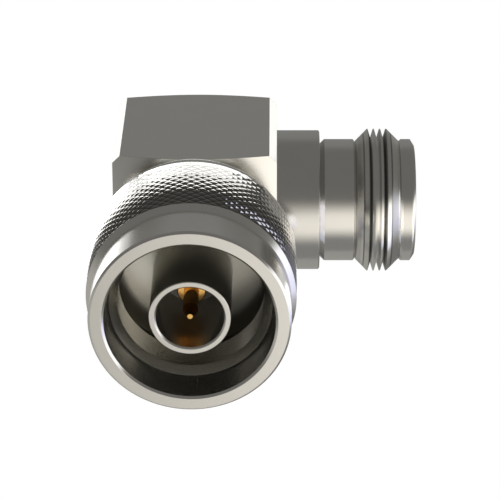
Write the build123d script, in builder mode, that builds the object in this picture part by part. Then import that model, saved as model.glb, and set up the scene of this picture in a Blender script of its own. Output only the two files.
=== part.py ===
"""Right-angle coaxial adapter: a plug with a knurled coupling nut, a square block and a threaded jack.

Millimetres. The origin is the centre of the plug's outer contact at its front edge. The plug opens
towards -Y, the jack opens towards +X and +Z is up.
"""

import os
from math import hypot, radians, tan

from build123d import *

# Fits
press_gap = 0.02  # left between pieces that are pressed or seated together
running_gap = 0.06  # radial play of the coupling nut on its hub
ring_side_play = 0.1  # axial play of the retaining ring in each groove
edge_break = 0.12  # small chamfer on turned edges

# Coaxial line, the same in both arms
line_bore_r = 3.5
contact_r = 1.52
contact_neck_r = 1.1
pin_r = 0.8
bead_length = 3.0

# Plug: outer contact tube, flange and hub
tube_r = 4.2
tube_length = 10.0
tube_mouth_chamfer = 0.18
hub_inset = 0.19  # how far the hub lies inside the bar's flats

# Block: square bar with bevelled edges and turned ends
bar_width = 17.78
bar_bevel = 0.81
block_length = 17.25
jack_set_back = 8.24  # from the block's front face to the jack's axis
end_chamfer_angle = 15
end_face_r = 8.6
spigot_r = 5.6
spigot_length = 2.5

# Coupling nut
nut_overhang = 0.97  # how far the nut stands ahead of the tube
nut_length = 17.3
nut_to_block = 2.67
nut_band_r = 10.4
nut_edge = 0.23
knurl_r = 11.0
knurl_length = 9.72
knurl_shoulder = 0.62
front_band_length = 4.76
nut_mouth_r = 8.8
nut_throat_r = 8.46
lead_in_length = 3.84
nut_thread_r = 7.66
nut_thread_length = 3.7
relief_depth = 0.25  # radial, outside the hub
relief_overlap = 0.6  # how far the thread relief reaches past the hub's front face

# Retaining ring
ring_thickness = 1.0
ring_sunk = 0.8  # radial depth in the hub's groove
ring_proud = 0.7  # radial height that stands in the nut's groove
ring_gap = 2.4
ring_set_back = 2.2  # from the hub's front face
groove_room = 0.2  # radial room left outside the ring

# Plug centre contact
pin_recess = 0.4
pin_tip_r = 0.28
pin_taper = 1.5
shoulder_recess = 5.8
junction_r = 1.5
junction_tail = 1.7
tail_to_cap = 1.41
spigot_pin_r = 0.75

# Jack shell
collar_r = 7.78
collar_length = 4.72
barrel_r = 6.79
neck_r = 6.3
neck_length = 0.06
barrel_length = 3.32
thread_r = 7.9375  # 5/8 inch major diameter
thread_root_r = 6.95
thread_foot_r = 6.5
thread_shoulder_r = 7.6
thread_pitch = 0.7
thread_crest = 0.1
thread_turns = 4
thread_relief = 0.04
lip_foot_r = 6.57
lip_bevel_length = 0.24
lip_length = 1.0
lip_chamfer_r = 0.65
lip_chamfer_length = 0.42
jack_mouth_r = 4.3
jack_mouth_depth = 9.1

# Jack centre contact
socket_recess = 4.8
socket_bore_r = 0.83
socket_depth = 6.0
slot_width = 0.35
slot_depth = 4.5
jack_bead_depth = 11.0

# Rear closure
cap_r = 5.0
cap_thickness = 1.5
cap_recess = 0.1
rear_bead_length = 2.5

# Places worked out from the sizes above
hub_front = tube_length
nut_front = -nut_overhang
nut_rear = nut_front + nut_length
block_front = nut_rear + nut_to_block
block_rear = block_front + block_length
axis_y = block_front + jack_set_back
half_bar = bar_width / 2
line_end = half_bar - spigot_length
cap_front = block_rear - cap_recess - cap_thickness
hub_r = half_bar - hub_inset
ring_inner_r = hub_r - ring_sunk
ring_outer_r = hub_r + ring_proud
ring_front = hub_front + ring_set_back
ring_rear = ring_front + ring_thickness
jack_axis = Axis((0, axis_y, 0), (1, 0, 0))
jack_plane = Plane(origin=(0, axis_y, 0))


def outline(*points):
    """Fill the closed straight-sided outline through the points, in the sketch that calls this."""
    with BuildLine() as border:
        Polyline(*points, close=True)
    make_face(border.edges())


os.makedirs("parts", exist_ok=True)


# Body block, turned at both ends and bored for the two arms and the rear closure
with BuildPart() as body_block:
    with BuildSketch(Plane.XZ.offset(-block_front)):
        Rectangle(bar_width, bar_width)
        chamfer(vertices(), bar_bevel)
    extrude(amount=-block_length)
    corner_r = hypot(half_bar, half_bar)
    end_drop = (corner_r - end_face_r) * tan(radians(end_chamfer_angle))
    with BuildSketch(Plane.XY):
        outline(
            (0, block_front),
            (end_face_r, block_front),
            (corner_r, block_front + end_drop),
            (corner_r, block_rear - end_drop),
            (end_face_r, block_rear),
            (0, block_rear),
        )
    revolve(axis=Axis.Y, mode=Mode.INTERSECT)
    with BuildSketch(Plane.XY):
        outline(
            (0, block_front),
            (spigot_r + press_gap, block_front),
            (spigot_r + press_gap, block_front + spigot_length + press_gap),
            (line_bore_r, block_front + spigot_length + press_gap),
            (line_bore_r, cap_front),
            (cap_r + press_gap, cap_front),
            (cap_r + press_gap, block_rear),
            (0, block_rear),
        )
    revolve(axis=Axis.Y, mode=Mode.SUBTRACT)
    with BuildSketch(jack_plane):
        outline(
            (0, 0),
            (0, line_bore_r),
            (line_end - press_gap, line_bore_r),
            (line_end - press_gap, spigot_r + press_gap),
            (half_bar, spigot_r + press_gap),
            (half_bar, 0),
        )
    revolve(axis=jack_axis, mode=Mode.SUBTRACT)
body_block.part.label = "body_block"
export_step(body_block.part, "parts/body_block.step")


# Plug shell: outer contact tube, hub that carries the nut, and the spigot pressed into the block
with BuildPart() as plug_shell:
    with BuildSketch(Plane.XY):
        outline(
            (line_bore_r + tube_mouth_chamfer, 0),
            (tube_r - edge_break / 2, 0),
            (tube_r, edge_break / 2),
            (tube_r, hub_front),
            (hub_r - edge_break, hub_front),
            (hub_r, hub_front + edge_break),
            (hub_r, ring_front - ring_side_play),
            (ring_inner_r - press_gap, ring_front - ring_side_play),
            (ring_inner_r - press_gap, ring_rear + ring_side_play),
            (hub_r, ring_rear + ring_side_play),
            (hub_r, block_front),
            (spigot_r, block_front),
            (spigot_r, block_front + spigot_length),
            (line_bore_r, block_front + spigot_length),
            (line_bore_r, tube_mouth_chamfer),
        )
    revolve(axis=Axis.Y)
plug_shell.part.label = "plug_shell"
export_step(plug_shell.part, "parts/plug_shell.step")


# Coupling nut, turned inside and out, with its knurled grip left as a plain raised band
with BuildPart() as coupling_nut:
    knurl_front = nut_front + front_band_length + knurl_shoulder
    knurl_rear = knurl_front + knurl_length
    thread_front = nut_front + lead_in_length + (nut_throat_r - nut_thread_r)
    thread_rear = thread_front + nut_thread_length
    bearing_r = hub_r + running_gap
    relief_r = hub_r + relief_depth
    groove_r = ring_outer_r + groove_room
    with BuildSketch(Plane.XY):
        outline(
            (nut_band_r - nut_edge, nut_front),
            (nut_band_r, nut_front + nut_edge),
            (nut_band_r, knurl_front - knurl_shoulder),
            (knurl_r, knurl_front),
            (knurl_r, knurl_rear),
            (nut_band_r, knurl_rear + knurl_shoulder),
            (nut_band_r, nut_rear - nut_edge),
            (nut_band_r - nut_edge, nut_rear),
            (bearing_r + nut_edge, nut_rear),
            (bearing_r, nut_rear - nut_edge),
            (bearing_r, ring_rear + ring_side_play),
            (groove_r, ring_rear + ring_side_play),
            (groove_r, ring_front - ring_side_play),
            (bearing_r, ring_front - ring_side_play),
            (bearing_r, hub_front + relief_overlap),
            (relief_r, hub_front + relief_overlap),
            (relief_r, thread_rear),
            (nut_thread_r, thread_rear),
            (nut_thread_r, thread_front),
            (nut_throat_r, nut_front + lead_in_length),
            (nut_mouth_r, nut_front + nut_edge),
            (nut_mouth_r + nut_edge, nut_front),
        )
    revolve(axis=Axis.Y)
coupling_nut.part.label = "coupling_nut"
export_step(coupling_nut.part, "parts/coupling_nut.step")


# Retaining ring: an open spring ring that holds the nut on the hub
with BuildPart() as retaining_ring:
    with BuildSketch(Plane.XZ.offset(-ring_front)):
        Circle(ring_outer_r)
        Circle(ring_inner_r, mode=Mode.SUBTRACT)
        with Locations((0, -ring_outer_r)):
            Rectangle(ring_gap, ring_outer_r, mode=Mode.SUBTRACT)
    extrude(amount=-ring_thickness)
retaining_ring.part.label = "retaining_ring"
export_step(retaining_ring.part, "parts/retaining_ring.step")


# Plug centre contact: pin, shoulder, neck in its bead, and a cross hole for the jack's contact
with BuildPart() as plug_contact:
    bead_front = hub_front
    junction_end = axis_y + junction_tail
    tail_end = cap_front - tail_to_cap
    with BuildSketch(Plane.XY):
        outline(
            (0, pin_recess),
            (pin_tip_r, pin_recess),
            (pin_r, pin_recess + pin_taper),
            (pin_r, shoulder_recess),
            (contact_r - edge_break, shoulder_recess),
            (contact_r, shoulder_recess + edge_break),
            (contact_r, bead_front),
            (contact_neck_r, bead_front),
            (contact_neck_r, bead_front + bead_length),
            (junction_r, bead_front + bead_length),
            (junction_r, junction_end),
            (pin_r, junction_end),
            (pin_r, tail_end - edge_break),
            (pin_r - edge_break, tail_end),
            (0, tail_end),
        )
    revolve(axis=Axis.Y)
    with BuildSketch(Plane.YZ.offset(-contact_r)):
        with Locations((axis_y, 0)):
            Circle(spigot_pin_r + press_gap)
    extrude(amount=2 * contact_r, mode=Mode.SUBTRACT)
plug_contact.part.label = "plug_contact"
export_step(plug_contact.part, "parts/plug_contact.step")


def bead(plane, length, inner_r):
    """An insulating bead that fills the line bore round a contact, standing on the given plane."""
    with BuildPart(plane) as made:
        Cylinder(
            line_bore_r - press_gap,
            length - 2 * press_gap,
            align=(Align.CENTER, Align.CENTER, Align.MIN),
        )
        Cylinder(
            inner_r + press_gap,
            length,
            align=(Align.CENTER, Align.CENTER, Align.MIN),
            mode=Mode.SUBTRACT,
        )
    return made.part


# Plug insulator, in front of the contact's neck
plug_insulator = bead(Plane.XZ.offset(-bead_front - bead_length + press_gap), bead_length, contact_neck_r)
plug_insulator.label = "plug_insulator"
export_step(plug_insulator, "parts/plug_insulator.step")


# Rear insulator, which centres the contact's tail behind the junction
rear_insulator = bead(Plane.XZ.offset(-cap_front + press_gap), rear_bead_length, pin_r)
rear_insulator.label = "rear_insulator"
export_step(rear_insulator, "parts/rear_insulator.step")


# Rear cap, pressed in to close the hole through which the contacts are joined
with BuildPart() as rear_cap:
    with BuildSketch(Plane.XZ.offset(-cap_front - press_gap)):
        Circle(cap_r)
    extrude(amount=-(cap_thickness - press_gap))
    chamfer(rear_cap.edges().group_by(Axis.Y)[-1], edge_break)
rear_cap.part.label = "rear_cap"
export_step(rear_cap.part, "parts/rear_cap.step")


# Jack shell: spigot, collar, barrel, thread turns and lip, all from one bar
with BuildPart() as jack_shell:
    collar_end = half_bar + collar_length
    neck_end = collar_end + neck_length
    barrel_start = neck_end + (barrel_r - neck_r)
    barrel_end = barrel_start + barrel_length
    thread_start = barrel_end + thread_relief
    first_root = thread_start + (thread_shoulder_r - thread_foot_r)
    thread_profile = []
    for turn in range(thread_turns):
        crest = first_root + (turn + 0.5) * thread_pitch
        if turn > 0:
            thread_profile.append((crest - thread_pitch / 2, thread_root_r))
        thread_profile.append((crest - thread_crest / 2, thread_r))
        thread_profile.append((crest + thread_crest / 2, thread_r))
    lip_foot = crest + thread_crest / 2 + (thread_r - lip_foot_r)
    lip_start = lip_foot + lip_bevel_length
    lip_end = lip_start + lip_length
    jack_end = lip_end + lip_chamfer_length
    with BuildSketch(jack_plane):
        outline(
            (line_end, line_bore_r),
            (line_end, spigot_r),
            (half_bar, spigot_r),
            (half_bar, collar_r),
            (collar_end - edge_break, collar_r),
            (collar_end, collar_r - edge_break),
            (collar_end, neck_r),
            (neck_end, neck_r),
            (barrel_start, barrel_r),
            (barrel_end - edge_break, barrel_r),
            (barrel_end, barrel_r - edge_break),
            (barrel_end, thread_foot_r),
            (thread_start, thread_foot_r),
            (first_root, thread_shoulder_r),
            *thread_profile,
            (lip_foot, lip_foot_r),
            (lip_start, barrel_r),
            (lip_end, barrel_r),
            (jack_end, barrel_r - lip_chamfer_r),
            (jack_end, jack_mouth_r + edge_break),
            (jack_end - edge_break, jack_mouth_r),
            (jack_end - jack_mouth_depth, jack_mouth_r),
            (jack_end - jack_mouth_depth, line_bore_r),
        )
    revolve(axis=jack_axis)
jack_shell.part.label = "jack_shell"
export_step(jack_shell.part, "parts/jack_shell.step")


# Jack centre contact: a slotted socket, a neck in its bead, and a spigot joined to the plug's contact
with BuildPart() as jack_contact:
    socket_tip = jack_end - socket_recess
    jack_bead_front = jack_end - jack_bead_depth
    jack_bead_rear = jack_bead_front - bead_length
    spigot_start = junction_r + 2 * edge_break
    with BuildSketch(jack_plane):
        outline(
            (-junction_r / 2, 0),
            (-junction_r / 2, spigot_pin_r),
            (spigot_start, spigot_pin_r),
            (spigot_start, contact_r),
            (jack_bead_rear, contact_r),
            (jack_bead_rear, contact_neck_r),
            (jack_bead_front, contact_neck_r),
            (jack_bead_front, contact_r),
            (socket_tip - edge_break, contact_r),
            (socket_tip, contact_r - edge_break),
            (socket_tip, socket_bore_r + edge_break),
            (socket_tip - edge_break, socket_bore_r),
            (socket_tip - socket_depth, socket_bore_r),
            (socket_tip - socket_depth, 0),
        )
    revolve(axis=jack_axis)
    with BuildSketch(Plane.YZ.offset(socket_tip - slot_depth)):
        with Locations((axis_y, 0)):
            Rectangle(slot_width, 2 * collar_r)
            Rectangle(2 * collar_r, slot_width)
    extrude(amount=slot_depth, mode=Mode.SUBTRACT)
jack_contact.part.label = "jack_contact"
export_step(jack_contact.part, "parts/jack_contact.step")


# Jack insulator, round the neck of the jack's contact
jack_insulator = bead(
    Plane.YZ.offset(jack_bead_rear + press_gap).shift_origin((jack_bead_rear + press_gap, axis_y, 0)),
    bead_length,
    contact_neck_r,
)
jack_insulator.label = "jack_insulator"
export_step(jack_insulator, "parts/jack_insulator.step")
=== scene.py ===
"""Looks of the right-angle coaxial adapter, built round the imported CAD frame. Metres; +Z is up."""

import math

import bpy
from mathutils import Matrix, Vector


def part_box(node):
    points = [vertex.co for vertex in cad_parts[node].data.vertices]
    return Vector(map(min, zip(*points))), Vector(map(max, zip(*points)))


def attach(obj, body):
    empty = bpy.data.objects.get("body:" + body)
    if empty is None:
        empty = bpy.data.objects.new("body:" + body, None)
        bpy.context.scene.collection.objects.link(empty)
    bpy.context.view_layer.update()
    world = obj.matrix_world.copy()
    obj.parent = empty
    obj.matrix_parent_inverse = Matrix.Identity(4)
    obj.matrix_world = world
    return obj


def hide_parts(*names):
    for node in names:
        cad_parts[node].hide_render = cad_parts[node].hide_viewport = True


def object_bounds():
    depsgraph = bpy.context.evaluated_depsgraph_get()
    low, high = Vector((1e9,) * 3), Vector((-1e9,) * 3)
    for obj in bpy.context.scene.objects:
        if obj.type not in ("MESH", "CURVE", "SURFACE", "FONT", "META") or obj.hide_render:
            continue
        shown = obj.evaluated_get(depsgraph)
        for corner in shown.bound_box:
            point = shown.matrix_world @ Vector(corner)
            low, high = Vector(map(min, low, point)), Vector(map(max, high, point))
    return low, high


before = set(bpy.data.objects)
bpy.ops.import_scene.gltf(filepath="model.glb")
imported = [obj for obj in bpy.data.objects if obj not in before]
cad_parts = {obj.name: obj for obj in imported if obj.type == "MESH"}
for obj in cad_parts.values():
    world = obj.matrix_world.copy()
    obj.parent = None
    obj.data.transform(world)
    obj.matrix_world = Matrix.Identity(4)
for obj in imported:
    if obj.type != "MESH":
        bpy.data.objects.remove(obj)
cad_low, cad_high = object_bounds()
scene = bpy.context.scene
MM = 0.001


# Camera

CAMERA_PLACE = (0.008689, -0.212322, 0.119024)
CAMERA_RIGHT = (0.99995, 0.00941, -0.00462)
CAMERA_UP = (-0.00027, 0.46375, 0.88597)
CAMERA_BACK = (0.01048, -0.88592, 0.46373)
LENS_MM = 171.75
SENSOR_MM = 36.0
NEAREST = 0.01
FARTHEST = 10.0

camera_data = bpy.data.cameras.new("camera")
camera_data.lens = LENS_MM
camera_data.sensor_width = SENSOR_MM
camera_data.clip_start = NEAREST
camera_data.clip_end = FARTHEST
camera = bpy.data.objects.new("camera", camera_data)
scene.collection.objects.link(camera)
axes = Matrix((CAMERA_RIGHT, CAMERA_UP, CAMERA_BACK)).transposed()
camera.matrix_world = Matrix.LocRotScale(Vector(CAMERA_PLACE), axes.to_quaternion(), None)
scene.camera = camera
scene.view_settings.view_transform = "Standard"


# Node helpers


def rgb(red, green, blue):
    return (red, green, blue, 1.0)


class Graph:
    """Adds nodes to a tree and wires them, so that a material reads as a few lines."""

    def __init__(self, tree):
        self.tree = tree
        tree.nodes.clear()

    def node(self, kind, inputs=(), **settings):
        """A new node; its inputs go by name or number, each to another node's socket or a plain value."""
        made = self.tree.nodes.new(kind)
        for name, value in settings.items():
            setattr(made, name, value)
        for name, value in dict(inputs).items():
            if isinstance(value, bpy.types.NodeSocket):
                self.tree.links.new(value, made.inputs[name])
            else:
                made.inputs[name].default_value = value
        return made

    def math(self, operation, *values, clamp=False):
        inputs = dict(enumerate(values))
        return self.node("ShaderNodeMath", inputs, operation=operation, use_clamp=clamp).outputs[0]

    def vector(self, operation, *values):
        made = self.node("ShaderNodeVectorMath", dict(enumerate(values)), operation=operation)
        return made.outputs["Value" if operation in ("DOT_PRODUCT", "LENGTH") else "Vector"]

    def split(self, vector):
        """The sockets X, Y and Z of a vector."""
        return self.node("ShaderNodeSeparateXYZ", {"Vector": vector}).outputs

    def join(self, x=0.0, y=0.0, z=0.0):
        return self.node("ShaderNodeCombineXYZ", {"X": x, "Y": y, "Z": z}).outputs[0]

    def smooth(self, value, start, end, low=0.0, high=1.0):
        """A smooth step from low at start to high at end."""
        inputs = {"Value": value, "From Min": start, "From Max": end, "To Min": low, "To Max": high}
        return self.node("ShaderNodeMapRange", inputs, interpolation_type="SMOOTHSTEP").outputs[0]

    def fade(self, value, places):
        """For a value in metres: 0 at the first of two places in mm and 1 at the second."""
        start, end = places
        return self.smooth(value, start * MM, end * MM)

    def noise(self, place, scale, detail, roughness=0.5):
        inputs = {"Vector": place, "Scale": scale, "Detail": detail, "Roughness": roughness}
        return self.node("ShaderNodeTexNoise", inputs).outputs[0]

    def mix(self, share, a, b):
        """Colour a at a share of 0 and b at 1; a Mix node's sockets share names, so they go by number."""
        return self.node("ShaderNodeMix", {0: share, 6: a, 7: b}, data_type="RGBA").outputs[2]

    def mix_vectors(self, share, a, b):
        return self.node("ShaderNodeMix", {0: share, 4: a, 5: b}, data_type="VECTOR").outputs[1]

    def mix_shaders(self, share, a, b):
        return self.node("ShaderNodeMixShader", {0: share, 1: a, 2: b}).outputs[0]


def new_material(name):
    made = bpy.data.materials.new(name)
    made.use_nodes = True
    return made, Graph(made.node_tree)


# Studio light: a sky that lights the object, with plain white in its place for the camera

SKY_LEVEL = 0.775
LOW_SKY = rgb(0.455, 0.45, 0.43)
MIDDLE_SKY = rgb(0.22, 0.215, 0.205)
HIGH_SKY = rgb(0.205, 0.2, 0.195)
LOW_TO_MIDDLE = (-22, 12)
MIDDLE_TO_HIGH = (20, 50)

# Panels of light, each over the ones before it: its colour and compass heading, then its left, right,
# bottom and top edge as the degrees where the edge's fade starts and where the panel is full.
PANELS = (
    # left and low: a paler wall
    (rgb(0.6, 0.59, 0.565), -105, (-60, -40), (60, 45), (-80, -50), (8, -18)),
    # straight behind, high and low: grey
    (rgb(0.29, 0.29, 0.285), 180, (-26, -10), (26, 10), (-34, -26), (50, 24)),
    # behind to the right and low: dark
    (rgb(0.24, 0.24, 0.24), 130, (-45, -20), (45, 30), (-75, -60), (-30, -40)),
    # front and low: the table before the object
    (rgb(0.31, 0.31, 0.31), 0, (-60, -30), (60, 30), (-95, -90), (-44, -56)),
    # right: a white panel, wider and bluish below
    (rgb(0.87, 0.88, 1.07), 90, (-60, -45), (50, 28), (-40, -20), (8, -8)),
    (rgb(1.15, 1.15, 1.5), 90, (-60, -45), (2, -8), (-36, -26), (9, -3)),
    (rgb(1.9, 1.9, 1.95), 90, (-60, -45), (1, -10), (-22, -8), (18, 8)),
    # front: a broad cream panel that grows brighter to the right
    (rgb(1.95, 1.86, 1.74), 0, (-13, 12), (70, 50), (-52, -25), (28, -8)),
)


class Sky(Graph):
    """Colours by direction; a compass heading of 0 is towards -Y, 90 towards +X and 180 towards +Y."""

    def __init__(self, tree):
        super().__init__(tree)
        self.ray = self.node("ShaderNodeTexCoord").outputs["Generated"]
        self.rise = self.degrees(self.math("ARCSINE", self.split(self.ray)["Z"]))

    def degrees(self, angle):
        return self.math("MULTIPLY", angle, 180 / math.pi)

    def turn_from(self, heading):
        """Degrees to either side of a compass heading."""
        centre = math.radians(heading)
        ahead = self.vector("DOT_PRODUCT", self.ray, (math.sin(centre), -math.cos(centre), 0.0))
        aside = self.vector("DOT_PRODUCT", self.ray, (math.cos(centre), math.sin(centre), 0.0))
        return self.degrees(self.math("ARCTAN2", aside, ahead))

    def panel(self, base, colour, heading, left, right, bottom, top):
        """Lays a soft-edged panel of light over the base."""
        turn = self.turn_from(heading)
        mask = self.math("MULTIPLY", self.smooth(turn, *left), self.smooth(turn, *right))
        for edge in (bottom, top):
            mask = self.math("MULTIPLY", mask, self.smooth(self.rise, *edge))
        return self.mix(mask, base, colour)


world = bpy.data.worlds.new("studio")
scene.world = world
world.use_nodes = True
sky = Sky(world.node_tree)
light = sky.mix(sky.smooth(sky.rise, *LOW_TO_MIDDLE), LOW_SKY, MIDDLE_SKY)
light = sky.mix(sky.smooth(sky.rise, *MIDDLE_TO_HIGH), light, HIGH_SKY)
for panel in PANELS:
    light = sky.panel(light, *panel)
to_camera = sky.node("ShaderNodeLightPath").outputs["Is Camera Ray"]
seen = sky.mix(to_camera, light, rgb(1 / SKY_LEVEL, 1 / SKY_LEVEL, 1 / SKY_LEVEL))
shine = sky.node("ShaderNodeBackground", {"Color": seen, "Strength": SKY_LEVEL})
sky.node("ShaderNodeOutputWorld", {"Surface": shine.outputs[0]})


# Grain: each function gives the place on the object and the coordinates at which its tool lines are read

BAR_SQUEEZE = (1.0, 0.04, 1.0)
jack_low, jack_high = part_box("jack_shell")
JACK_CENTRE = (0.0, (jack_low.y + jack_high.y) / 2, 0.0)


def turned_grain(g, axis, centre=(0.0, 0.0, 0.0)):
    """Coordinates along and off a lathe axis, so that noise makes turned rings."""
    place = g.vector("SUBTRACT", g.node("ShaderNodeTexCoord").outputs["Object"], centre)
    x, y, z = g.split(place)
    along, across = (x, y) if axis == "X" else (y, x)
    radius = g.math("SQRT", g.math("ADD", g.math("MULTIPLY", across, across), g.math("MULTIPLY", z, z)))
    return place, g.join(along, radius)


def plug_grain(g):
    return turned_grain(g, "Y")


def jack_grain(g):
    return turned_grain(g, "X", JACK_CENTRE)


def brushed_grain(g):
    """Coordinates squeezed along the bar, for the fine lines of a drawn and polished bar."""
    place = g.node("ShaderNodeTexCoord").outputs["Object"]
    return place, g.vector("MULTIPLY", place, BAR_SQUEEZE)


# Plated metal

NICKEL = (0.8, 0.787, 0.742)
GOLD = (0.95, 0.55, 0.17)
SPRING = (0.72, 0.52, 0.34)
LINE_SCALE = 9000.0
SPECK_SCALE = 9000.0
CLOUD_SCALE = 420.0
CLOUD_EDGES = (0.3, 0.7)
CLOUD_TONE = 0.985
CLOUD_GLOSS = 0.03
LINE_GLOSS = 0.06
SPECK_SHARE = 0.4
MARK_DEPTH = 0.002
SHADE_TINT = (1.0, 0.99, 0.94)


def metal(
    name, colour, grain, roughness,
    lines=0.25, rounding=0.05, painted_shade_mask=None, shade=0.62, bend=None, metallic=1.0,
):
    """Plated metal with fine tool lines, a little cloudiness in its gloss and its edges rounded, in mm.

    The mask function gives 1 where shade is painted into the tone, darkening it to shade with the slightly
    warm SHADE_TINT, and bend turns the shading's normal.
    """
    made, g = new_material(name)
    place, stretched = grain(g)
    fine = g.noise(stretched, LINE_SCALE, detail=3.0, roughness=0.6)
    cloud = g.noise(place, CLOUD_SCALE, detail=4.0)
    specks = g.noise(place, SPECK_SCALE, detail=2.0)
    tone = g.mix(g.smooth(cloud, *CLOUD_EDGES), rgb(*(CLOUD_TONE * c for c in colour)), rgb(*colour))
    # painted shade: where the mask gives 1, the tone goes down to shade times the warm SHADE_TINT
    if painted_shade_mask:
        dark = rgb(*(shade * tint * c for tint, c in zip(SHADE_TINT, colour)))
        tone = g.mix(painted_shade_mask(g, place), tone, dark)
    gloss = g.math("MULTIPLY_ADD", cloud, CLOUD_GLOSS, roughness - CLOUD_GLOSS / 2)
    gloss = g.math("MULTIPLY_ADD", fine, LINE_GLOSS, g.math("SUBTRACT", gloss, LINE_GLOSS / 2))
    edge = g.node("ShaderNodeBevel", {"Radius": rounding * MM}, samples=4)
    height = g.math("ADD", fine, g.math("MULTIPLY", specks, SPECK_SHARE))
    bump = g.node(
        "ShaderNodeBump",
        {"Height": height, "Normal": edge.outputs[0], "Strength": lines, "Distance": MARK_DEPTH * MM},
    )
    normal = bend(g, place, bump.outputs[0]) if bend else bump.outputs[0]
    shader = g.node(
        "ShaderNodeBsdfPrincipled",
        {"Base Color": tone, "Metallic": metallic, "Roughness": gloss, "Normal": normal},
    )
    g.node("ShaderNodeOutputMaterial", {"Surface": shader.outputs[0]})
    return made


# Painted shade in the recesses of the plug and the nut; each pair is where the painted dark starts and
# where it is full, in mm

TUBE_MOUTH = (0.05, 0.3)
NUT_THROAT = (2.8, 2.9)
NUT_BORE = (9.7, 9.6)
ACROSS_PLUG = (1.0, 0.0, 1.0)


def shade_behind_mouth(g, place):
    """Painted shade: 1 on everything behind the plug tube's front edge."""
    return g.fade(g.split(place)["Y"], TUBE_MOUTH)


def shade_inside_nut(g, place):
    """Painted shade: 1 on the nut's bore and 0 on its face and outside."""
    radius = g.vector("LENGTH", g.vector("MULTIPLY", place, ACROSS_PLUG))
    return g.math("MULTIPLY", g.fade(g.split(place)["Y"], NUT_THROAT), g.fade(radius, NUT_BORE))


# Jack, in mm: how far the shading leans along x at places along x, the stretches where it leans,
# and the painted shade in the thread's roots as place, half width and darkness

JACK_LEAN = (
    (13.95, 0.9), (14.12, 0.45), (14.2, 0.0), (18.3, 0.0), (18.42, -0.3), (19.35, -0.3), (19.8, 0.0),
    (20.55, 0.25), (21.05, 0.38), (21.42, 0.45), (21.6, 0.9), (22.2, 0.9), (22.28, 0.75), (22.48, 0.7),
    (22.56, 0.1), (23.72, 0.1), (23.9, 0.45), (24.1, 0.9),
)
LEANING = ((13.63, 14.14), (18.42, 21.56), (22.27, 22.75), (23.73, 24.14))
LEANING_FADE = 0.02
THREAD_ROOT_SHADE = (
    (17.95, 0.64, 0.34),
    (18.46, 0.144, 0.68),
    (19.19, 0.304, 0.986),
    (20.8, 0.32, 0.986),
    (21.5, 0.144, 0.765),
)
JACK_SKIN = (5.9, 6.0)
ACROSS_JACK = (0.0, 1.0, 1.0)


def jack_outside(g, place):
    """1 on the outer side of the jack and 0 in its bore."""
    return g.fade(g.vector("LENGTH", g.vector("MULTIPLY", place, ACROSS_JACK)), JACK_SKIN)


def jack_bend(g, place, normal):
    """Turns the shading of grooves and steep flanks outwards, as where polishing has rounded them."""
    x = g.split(place)["X"]
    lean = JACK_LEAN[0][1]
    for (start, low), (end, high) in zip(JACK_LEAN, JACK_LEAN[1:]):
        lean = g.math("ADD", lean, g.smooth(x, start * MM, end * MM, 0.0, high - low))
    share = 0.0
    for start, end in LEANING:
        past_start = g.fade(x, (start - LEANING_FADE, start))
        before_end = g.fade(x, (end + LEANING_FADE, end))
        share = g.math("ADD", share, g.math("MULTIPLY", past_start, before_end))
    share = g.math("MULTIPLY", share, jack_outside(g, place))
    outward = g.vector("NORMALIZE", g.vector("MULTIPLY", place, ACROSS_JACK))
    crest = g.vector("NORMALIZE", g.vector("ADD", outward, g.join(x=lean)))
    return g.mix_vectors(share, normal, crest)


def thread_root_shade(g, place):
    """Painted shade in the narrow roots between the thread's crests."""
    x = g.split(place)["X"]
    total = 0.0
    for centre, half, darkness in THREAD_ROOT_SHADE:
        away = g.math("ABSOLUTE", g.math("SUBTRACT", x, centre * MM))
        total = g.math("ADD", total, g.smooth(away, 0.0, half * MM, darkness, 0.0))
    return g.math("MULTIPLY", total, jack_outside(g, place), clamp=True)


# Knurl: its sizes in mm, the counts of its diamonds, and the shading of their facets, with painted shade
# on their front flanks and in their grooves

KNURL_R = 11.0
KNURL_FRONT = 4.41
KNURL_REAR = 14.13
KNURL_LENGTH = KNURL_REAR - KNURL_FRONT
KNURL_ROUND = 57
KNURL_ROWS = 10
KNURL_SLOPE = 0.29
KNURL_CROWN = 0.06
# painted shade: half dark on each diamond's front flank, and thin dark lines in its grooves
FRONT_FLANK = (0.2, -0.45)  # difference of the shares gone across a diamond in its two directions
FRONT_FLANK_SHADE = 0.68
GROOVE_LINE = (0.37, 0.48)  # in shares of a diamond, from 0 at its middle to 0.5 in the groove
GROOVE_ROWS = (9.5, 8.2)  # the dark lines fade out over these rows at the rear
LEAN_MIDDLE = 9.46
LEAN_PER_MM = 0.112
LEAN_LEAST = -0.35
LEAN_MOST = 0.305


def knurl_painted_shade(g, place):
    """Painted shade: dark in the grooves, half dark on the front flank of each diamond, and 0 on its rear
    flank.
    """
    x, y, z = g.split(place)
    turn = g.math("MULTIPLY", g.math("ARCTAN2", x, z), KNURL_ROUND / (2 * math.pi))
    row = g.math("MULTIPLY", g.math("SUBTRACT", y, KNURL_FRONT * MM), KNURL_ROWS / KNURL_LENGTH / MM)
    one = g.math("FRACT", g.math("ADD", turn, row))
    other = g.math("FRACT", g.math("SUBTRACT", turn, row))
    fronts = g.smooth(g.math("SUBTRACT", one, other), *FRONT_FLANK, 0.0, FRONT_FLANK_SHADE)
    off_middle = [g.math("ABSOLUTE", g.math("SUBTRACT", share, 0.5)) for share in (one, other)]
    grooves = g.smooth(g.math("MAXIMUM", *off_middle), *GROOVE_LINE)
    grooves = g.math("MULTIPLY", grooves, g.smooth(row, *GROOVE_ROWS))
    return g.math("ADD", fronts, grooves, clamp=True)


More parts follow.
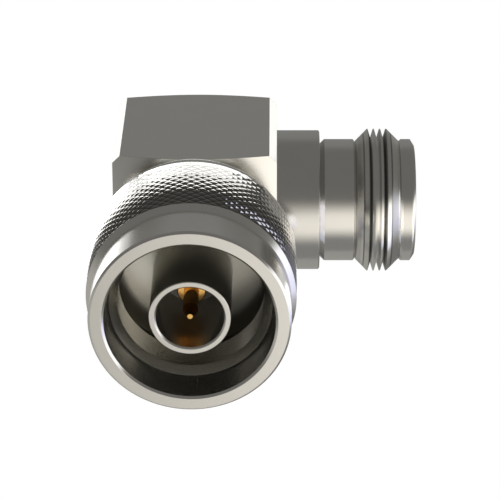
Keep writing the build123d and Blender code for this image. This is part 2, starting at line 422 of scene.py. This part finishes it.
def knurl_bend(g, place, normal):
    """Leans the knurl's shading back at its rear and forward at its front, like a band crowned by wear."""
    from_middle = g.math("SUBTRACT", g.split(place)["Y"], LEAN_MIDDLE * MM)
    lean = g.math("MINIMUM", g.math("MULTIPLY", from_middle, LEAN_PER_MM / MM), LEAN_MOST)
    lean = g.math("MAXIMUM", lean, LEAN_LEAST)
    return g.vector("NORMALIZE", g.vector("ADD", normal, g.join(y=lean)))


# Insulators

WAX_GREY = (0.78, 0.77, 0.73)
WAX_WHITE = (0.86, 0.85, 0.82)
WAX_SCATTER = (0.0006, 0.0005, 0.0004)
WAX_MARK_SCALE = 5000.0
WAX_CLOUD_SCALE = 600.0
WAX_MARK_DEPTH = 0.004


def insulator(name):
    """White fluoropolymer: waxy, a little translucent, with faint turning marks."""
    made, g = new_material(name)
    place, rings = plug_grain(g)
    marks = g.noise(rings, WAX_MARK_SCALE, detail=2.0)
    cloud = g.noise(place, WAX_CLOUD_SCALE, detail=3.0)
    bump = g.node("ShaderNodeBump", {"Height": marks, "Strength": 0.2, "Distance": WAX_MARK_DEPTH * MM})
    shader = g.node(
        "ShaderNodeBsdfPrincipled",
        {
            "Base Color": g.mix(cloud, rgb(*WAX_GREY), rgb(*WAX_WHITE)),
            "Roughness": 0.45,
            "Subsurface Weight": 0.25,
            "Subsurface Radius": WAX_SCATTER,
            "Normal": bump.outputs[0],
        },
    )
    g.node("ShaderNodeOutputMaterial", {"Surface": shader.outputs[0]})
    return made


# Materials of the CAD pieces

white = insulator("white_fluoropolymer")
materials = {
    "body_block": metal("plated_block", NICKEL, brushed_grain, roughness=0.24),
    "rear_cap": metal("plated_cap", NICKEL, plug_grain, roughness=0.24),
    "plug_shell": metal(
        "plated_plug", NICKEL, plug_grain, roughness=0.25,
        lines=0.04, rounding=0.04, painted_shade_mask=shade_behind_mouth, shade=0.47, metallic=0.93,
    ),
    "jack_shell": metal(
        "plated_jack", NICKEL, jack_grain, roughness=0.2,
        rounding=0.04, painted_shade_mask=thread_root_shade, shade=0.12, bend=jack_bend,
    ),
    "coupling_nut": metal(
        "plated_nut", NICKEL, plug_grain, roughness=0.18,
        lines=0.07, rounding=0.04, painted_shade_mask=shade_inside_nut, metallic=0.93,
    ),
    "retaining_ring": metal("spring_ring", SPRING, plug_grain, roughness=0.3),
    "plug_contact": metal("gold_pin", GOLD, plug_grain, roughness=0.14, rounding=0.03),
    "jack_contact": metal("gold_socket", GOLD, jack_grain, roughness=0.14, rounding=0.03),
    "plug_insulator": white,
    "jack_insulator": white,
    "rear_insulator": white,
}

for name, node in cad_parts.items():
    node.data.materials.clear()
    node.data.materials.append(materials[name])


# Coupling nut with its knurl, in mm: the CAD nut's sizes, then what only the looks have

NUT_LENGTH = 17.3
NUT_FRONT = cad_low.y / MM
NUT_REAR = NUT_FRONT + NUT_LENGTH
EDGE = 0.23
BAND_R = 10.4
SHOULDER = 0.62
MOUTH_R = 8.8
THROAT_R = 8.46
THROAT_END = 2.87
THREAD_R = 7.66
THREAD_FRONT = 3.67
THREAD_REAR = 7.37
RELIEF_R = 8.95
RELIEF_REAR = 10.6
BEARING_R = 8.76
GROOVE_R = 9.6
GROOVE_FRONT = 12.1
GROOVE_REAR = 13.3

REAR_ROUND = 0.06
UNDER_KNURL = 0.25
KNURL_INSET = 0.05
NUT_STEPS = 256
DIAMOND_STEPS = 10
FRONT_GAIN = 2.5  # share of their depth that the diamonds gain with each row from the front
REAR_GAIN = 1.1
CREST_POWER = 1.06


def knurl_radius(turn, y):
    """Low diamonds on a slightly crowned band, with plain edges; turn counts diamonds, y is in mm."""
    share = (y - KNURL_FRONT) / KNURL_LENGTH
    row = share * KNURL_ROWS
    width = 2 * math.pi * KNURL_R / KNURL_ROUND
    length = KNURL_LENGTH / KNURL_ROWS
    half = width * length / math.hypot(width, length) / 2
    fade = min(1.0, FRONT_GAIN * row, REAR_GAIN * (KNURL_ROWS - row))
    groove = max(abs(2 * ((turn + lean * row) % 1.0) - 1) for lean in (1, -1))
    return KNURL_R - KNURL_CROWN * (2 * share - 1) ** 2 - fade * groove**CREST_POWER * half * KNURL_SLOPE


def ringed_mesh(name, rings, closed, split):
    """A surface through rings of (radius, y) about the Y axis; split cuts its quads along the grooves."""
    across = len(rings[0])
    places = []
    for ring in rings:
        for i, (radius, y) in enumerate(ring):
            angle = 2 * math.pi * i / across
            places.append((radius * math.sin(angle) * MM, y * MM, radius * math.cos(angle) * MM))
    count = len(rings)
    faces = []
    for j in range(count if closed else count - 1):
        this_ring = j * across
        next_ring = (j + 1) % count * across
        for i in range(across):
            n = (i + 1) % across
            a, b, c, d = this_ring + i, this_ring + n, next_ring + n, next_ring + i
            if not split:
                faces.append((a, b, c, d))
            elif (i - j) % (DIAMOND_STEPS // 2) == 0:
                faces += [(a, b, c), (a, c, d)]
            else:
                faces += [(a, b, d), (b, c, d)]
    mesh = bpy.data.meshes.new(name)
    mesh.from_pydata(places, [], faces)
    mesh.update()
    mesh.shade_smooth()
    return mesh


def knurl_mesh():
    """The knurled rows alone, on the nut's raised band."""
    across = KNURL_ROUND * DIAMOND_STEPS
    rows = KNURL_ROWS * DIAMOND_STEPS
    rings = []
    for j in range(rows + 1):
        y = KNURL_FRONT + KNURL_LENGTH * j / rows
        rings.append([(knurl_radius(i / DIAMOND_STEPS, y), y) for i in range(across)])
    return ringed_mesh("nut_knurl", rings, closed=False, split=True)


def nut_mesh():
    """The turned nut under its knurl, as one closed profile whose corners stay sharp."""
    profile = [
        (BAND_R, KNURL_FRONT - SHOULDER),
        (KNURL_R - KNURL_CROWN, KNURL_FRONT),
        (KNURL_R - UNDER_KNURL, KNURL_FRONT + KNURL_INSET),
        (KNURL_R - UNDER_KNURL, KNURL_REAR - KNURL_INSET),
        (KNURL_R - KNURL_CROWN, KNURL_REAR),
        (BAND_R, KNURL_REAR + SHOULDER),
        (BAND_R, NUT_REAR - 2 * EDGE),
        (BAND_R - REAR_ROUND, NUT_REAR - EDGE),
        (BAND_R - EDGE, NUT_REAR),
        (BEARING_R + EDGE, NUT_REAR),
        (BEARING_R, NUT_REAR - EDGE),
        (BEARING_R, GROOVE_REAR),
        (GROOVE_R, GROOVE_REAR),
        (GROOVE_R, GROOVE_FRONT),
        (BEARING_R, GROOVE_FRONT),
        (BEARING_R, RELIEF_REAR),
        (RELIEF_R, RELIEF_REAR),
        (RELIEF_R, THREAD_REAR),
        (THREAD_R, THREAD_REAR),
        (THREAD_R, THREAD_FRONT),
        (THROAT_R, THROAT_END),
        (MOUTH_R, NUT_FRONT + EDGE),
        (MOUTH_R + EDGE, NUT_FRONT),
        (BAND_R - EDGE, NUT_FRONT),
        (BAND_R, NUT_FRONT + EDGE),
    ]
    rings = [[point] * NUT_STEPS for point in profile]
    mesh = ringed_mesh("nut_turned", rings, closed=True, split=False)
    mark = mesh.attributes.new("sharp_edge", "BOOLEAN", "EDGE")
    ends = [[vertex // NUT_STEPS for vertex in edge.vertices] for edge in mesh.edges]
    mark.data.foreach_set("value", [start == end for start, end in ends])
    return mesh


nut = bpy.data.objects.new("nut_turned", nut_mesh())
knurl = bpy.data.objects.new("nut_knurl", knurl_mesh())
nut.data.materials.append(materials["coupling_nut"])
# painted shade: the knurl's plating at half the nut's tone, a darker copy of the same plating
knurl.data.materials.append(
    metal(
        "knurled", tuple(c / 2 for c in NICKEL), plug_grain, roughness=0.07,
        lines=0.1, rounding=0.02, painted_shade_mask=knurl_painted_shade, shade=0.3, bend=knurl_bend,
    )
)
for piece in (nut, knurl):
    scene.collection.objects.link(piece)
    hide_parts("coupling_nut")
    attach(piece, "nut")


# Lamps for single pieces

LAMP_AWAY = 500.0
TO_REAR = (0, 1, 0)
TO_FRONT = (0, -1, 0)


def card(name, place, back, wide, high, radiance, piece, shape="RECTANGLE", tint=(1.0, 1.0, 1.0)):
    """A bright card in mm that faces away from back; it lights its piece alone, and no camera sees it."""
    data = bpy.data.lights.new(name, "AREA")
    data.shape = shape
    data.size = wide * MM
    data.size_y = high * MM
    data.color = tint
    area = data.size * data.size_y * (math.pi / 4 if shape == "ELLIPSE" else 1)
    data.energy = radiance * math.pi * area
    made = bpy.data.objects.new(name, data)
    scene.collection.objects.link(made)
    made.matrix_world = Matrix.LocRotScale(Vector(place) * MM, Vector(back).to_track_quat("Z", "Y"), None)
    made.visible_camera = False
    lit = bpy.data.collections.new(name)
    lit.objects.link(piece)
    made.light_linking.receiver_collection = lit


def lamp(name, heading, rise, wide, high, radiance, piece, shape="ELLIPSE", tint=(1.0, 1.0, 1.0)):
    """A far card at a compass heading and rise, wide x high degrees large as seen from the object."""
    turn = math.radians(heading)
    climb = math.radians(rise)
    away = Vector((math.sin(turn) * math.cos(climb), -math.cos(turn) * math.cos(climb), math.sin(climb)))
    size = [2 * LAMP_AWAY * math.tan(math.radians(angle / 2)) for angle in (wide, high)]
    card(name, away * LAMP_AWAY, away, *size, radiance, piece, shape, tint)


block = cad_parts["body_block"]
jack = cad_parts["jack_shell"]
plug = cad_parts["plug_shell"]

# the knurl's facets mostly reflect what is behind the object
lamp("knurl_back", 180, -7.5, 35, 65, 3.2, knurl, "RECTANGLE")
lamp("knurl_left", -154, -7.5, 30, 47, 2.3, knurl, "RECTANGLE")
lamp("knurl_left_high", -145, 3, 14, 18, 0.6, knurl, "RECTANGLE")
card("knurl_left_far", (-17.5, 25, 0.5), TO_REAR, 11, 17, 1.3, knurl)
card("knurl_left_near", (-7, 18.7, 5), TO_REAR, 6, 7.6, 1.5, knurl)
card("knurl_right_near", (11.2, 18.4, 2.5), TO_REAR, 5.4, 10, 0.45, knurl, tint=(1.0, 0.97, 0.9))
lamp("knurl_right", 90, 10, 22, 80, 3.2, knurl, "RECTANGLE", tint=(0.9, 0.93, 1.2))

# the nut's plain bands and edges
lamp("nut_left_wide", -156, -11, 34, 36, 0.6, nut)
lamp("nut_left", -156, -12, 20, 24, 1.1, nut)
lamp("nut_rear_edge", 180, 0, 40, 26, 1.1, nut)
lamp("shoulder_right", 90, -8, 22, 44, 0.5, nut, tint=(0.85, 0.9, 1.25))
card("band_right", (16, 17.6, -3), TO_REAR, 5, 8, 0.45, nut, "ELLIPSE")
lamp("nut_right", 163, -22, 22, 28, 1.7, nut)

# the block's bevels, the plug's hub and the jack's neck
lamp("bevel_right", 154, 0, 16, 20, 1.3, block)
lamp("bevel_left", -154, 0, 16, 20, 1.3, block)
card("hub_left", (-6.4, -4, -6.9), TO_FRONT, 3.6, 4.6, 0.9, plug, "ELLIPSE")
lamp("neck", 43, -8, 18, 44, 0.55, jack, tint=(0.63, 0.64, 1.0))
lamp("neck_low", 55, -44, 26, 28, 0.9, jack, tint=(0.75, 0.78, 1.0))


# Floor

FLOOR_HALF = 0.6
FLOOR_GAP = 0.02
PAPER_WHITE = 0.9
GLOW = 1.22
GLOW_SHARE = 0.8


def floor_paper():
    """White paper that glows for the camera, takes a shadow and is missing from reflections."""
    made, g = new_material("floor_paper")
    rays = g.node("ShaderNodeLightPath").outputs
    matt = g.node("ShaderNodeBsdfDiffuse", {"Color": rgb(PAPER_WHITE, PAPER_WHITE, PAPER_WHITE)})
    bright = g.node("ShaderNodeEmission", {"Color": rgb(1, 1, 1), "Strength": GLOW})
    clear = g.node("ShaderNodeBsdfTransparent")
    glowing = g.math("MULTIPLY", rays["Is Camera Ray"], GLOW_SHARE)
    shown = g.mix_shaders(glowing, matt.outputs[0], bright.outputs[0])
    surface = g.mix_shaders(rays["Is Glossy Ray"], shown, clear.outputs[0])
    g.node("ShaderNodeOutputMaterial", {"Surface": surface})
    return made


def floor_mesh():
    """A square just under the object."""
    z = cad_low.z - FLOOR_GAP * MM
    corners = [(-1, -1), (1, -1), (1, 1), (-1, 1)]
    mesh = bpy.data.meshes.new("floor")
    mesh.from_pydata([(FLOOR_HALF * x, FLOOR_HALF * y, z) for x, y in corners], [], [(0, 1, 2, 3)])
    mesh.materials.append(floor_paper())
    return mesh


floor = bpy.data.objects.new("floor", floor_mesh())
scene.collection.objects.link(floor)
